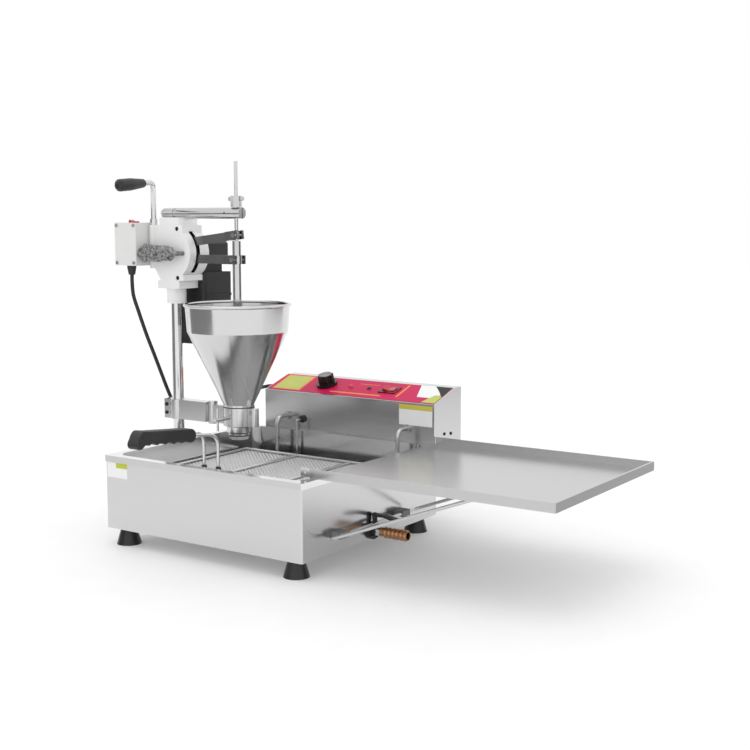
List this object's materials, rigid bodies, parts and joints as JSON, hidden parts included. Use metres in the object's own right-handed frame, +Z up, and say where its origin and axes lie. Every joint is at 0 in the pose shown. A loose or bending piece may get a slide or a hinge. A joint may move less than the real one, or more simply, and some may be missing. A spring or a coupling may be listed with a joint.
{
  "type": "doughnut fryer",
  "caption": "Countertop doughnut fryer: oil pan with lift-out screen, drain tray, control head, and a swinging depositor whose cam-driven levers work a hopper plunger.",
  "frame": {"origin": "on the floor under the middle of the whole machine with its tray and handle", "axes": "+X towards the drain tray, -Y towards the operator, +Z up"},
  "size_m": [1.1066, 0.7618, 0.7706],
  "materials": {
    "steel_brushed": "satin",
    "steel_polished": "polished",
    "steel_wire": "bright drawn",
    "element_metal": "dull",
    "steel_dark": "ground",
    "black_rubber": "matt",
    "grey_rubber": "matt",
    "black_plastic": "fine grain",
    "red_plastic": "gloss",
    "lamp_plastic": "translucent gloss",
    "white_plastic": "smooth",
    "box_plastic": "smooth",
    "red_film": "printed film",
    "cast_white": "white enamel",
    "motor_black": "black enamel",
    "copper": "copper-coloured",
    "brass_probe": "bright",
    "conduit_metal": "dark ribbed"
  },
  "bodies": {
    "fryer": {"outer_casing": "steel_brushed", "oil_pan": "steel_brushed", "rubber_feet": "black_rubber", "foot_screws": "steel_wire", "control_housing": "steel_brushed", "control_back_cover": "steel_brushed", "control_screws": "steel_wire", "panel_overlay": "red_film", "thermostat": "black_plastic", "indicator_lamps": "lamp_plastic", "main_switch_bezel": "black_plastic", "heating_element": "element_metal", "element_glands": "steel_brushed", "thermostat_probe": "brass_probe", "drain_pipe": "steel_brushed", "drain_valve_body": "black_plastic", "drain_collar": "steel_brushed", "drain_spout": "copper", "column_socket": "steel_brushed", "socket_bolts": "steel_wire", "power_cord": "black_rubber"},
    "knob": {"temperature_knob": "black_plastic"},
    "main_rocker": {"main_rocker": "red_plastic"},
    "drain_lever": {"drain_lever": "black_plastic"},
    "screen": {"screen_frame": "steel_wire", "screen_net": "steel_wire", "screen_handle": "steel_wire", "handle_sleeves": "black_rubber", "screen_grip": "black_plastic"},
    "tray": {"drain_tray": "steel_brushed", "tray_brace": "steel_wire", "brace_pads": "grey_rubber"},
    "depositor": {"column": "steel_polished", "lower_arm": "steel_brushed", "arm_bolts": "steel_wire", "nozzle_cylinder": "steel_polished", "clamp_screw": "steel_polished", "hopper": "steel_polished", "gear_housing_rear": "cast_white", "gear_housing_front": "cast_white", "housing_screws": "steel_dark", "lever_pivots": "steel_dark", "gearhead": "motor_black", "motor": "motor_black", "guide_arm": "steel_polished", "switch_box": "box_plastic", "switch_box_lid": "box_plastic", "lid_screws": "steel_wire", "cord_gland": "black_plastic", "wiring_conduit": "conduit_metal", "swing_handle": "steel_polished", "swing_grip": "black_plastic"},
    "camshaft": {"camshaft": "steel_dark"},
    "upper_lever": {"upper_lever": "steel_dark"},
    "lower_lever": {"lower_lever": "steel_dark"},
    "plunger_rod": {"plunger_rod": "steel_polished", "stop_collar": "steel_polished"},
    "plunger_tube": {"plunger_tube": "steel_polished", "piston": "white_plastic"},
    "head_rocker": {"head_rocker": "red_plastic"}
  },
  "joints": [
    {"name": "depositor_swing", "type": "hinge", "parent": "fryer", "child": "depositor", "pos_m": [-0.43625, 0.03901, 0.3], "axis": [0, 0, 1], "range_deg": [-60, 60], "deforming": ["power_cord"]},
    {"name": "camshaft_turn", "type": "hinge", "parent": "depositor", "child": "camshaft", "pos_m": [-0.42025, 0.03901, 0.5858], "axis": [0, 1, 0], "range_deg": [0, 180]},
    {"name": "upper_lever_tilt", "type": "hinge", "parent": "depositor", "child": "upper_lever", "pos_m": [-0.46425, 0.03901, 0.59619], "axis": [0, 1, 0], "range_deg": [-5, 0]},
    {"name": "lower_lever_tilt", "type": "hinge", "parent": "depositor", "child": "lower_lever", "pos_m": [-0.46425, 0.03901, 0.57], "axis": [0, 1, 0], "range_deg": [0, 7]},
    {"name": "plunger_rod_slide", "type": "slide", "parent": "depositor", "child": "plunger_rod", "axis": [0, 0, 1], "range_m": [0, 0.01778]},
    {"name": "plunger_tube_slide", "type": "slide", "parent": "depositor", "child": "plunger_tube", "axis": [0, 0, -1], "range_m": [0, 0.02431]},
    {"name": "head_switch_tip", "type": "hinge", "parent": "depositor", "child": "head_rocker", "pos_m": [-0.52225, 0.00201, 0.64], "axis": [0, 1, 0], "range_deg": [-20, 0]},
    {"name": "temperature_turn", "type": "hinge", "parent": "fryer", "child": "knob", "pos_m": [-0.23875, 0.31375, 0.28203], "axis": [0, -0.3027, 0.9531], "range_deg": [-270, 0]},
    {"name": "main_switch_tip", "type": "hinge", "parent": "fryer", "child": "main_rocker", "pos_m": [-0.06975, 0.31527, 0.27727], "axis": [0, 0.9531, 0.3027], "range_deg": [-18, 0]},
    {"name": "drain_lever_turn", "type": "hinge", "parent": "fryer", "child": "drain_lever", "pos_m": [0.08365, 0.02901, 0.0805], "axis": [0, 0, 1], "range_deg": [0, 90]},
    {"name": "screen_lift", "type": "slide", "parent": "fryer", "child": "screen", "axis": [0, 0, 1], "range_m": [0, 0.04]},
    {"name": "tray_lift", "type": "slide", "parent": "fryer", "child": "tray", "axis": [0, 0, 1], "range_m": [0, 0.006]}
  ],
  "couplings": [
    {"joint": "upper_lever_tilt", "follows": "camshaft_turn", "ratio": -0.027778},
    {"joint": "lower_lever_tilt", "follows": "camshaft_turn", "ratio": 0.038889},
    {"joint": "plunger_rod_slide", "follows": "camshaft_turn", "m_per_rad": 0.0056579},
    {"joint": "plunger_tube_slide", "follows": "camshaft_turn", "m_per_rad": 0.0077385}
  ]
}
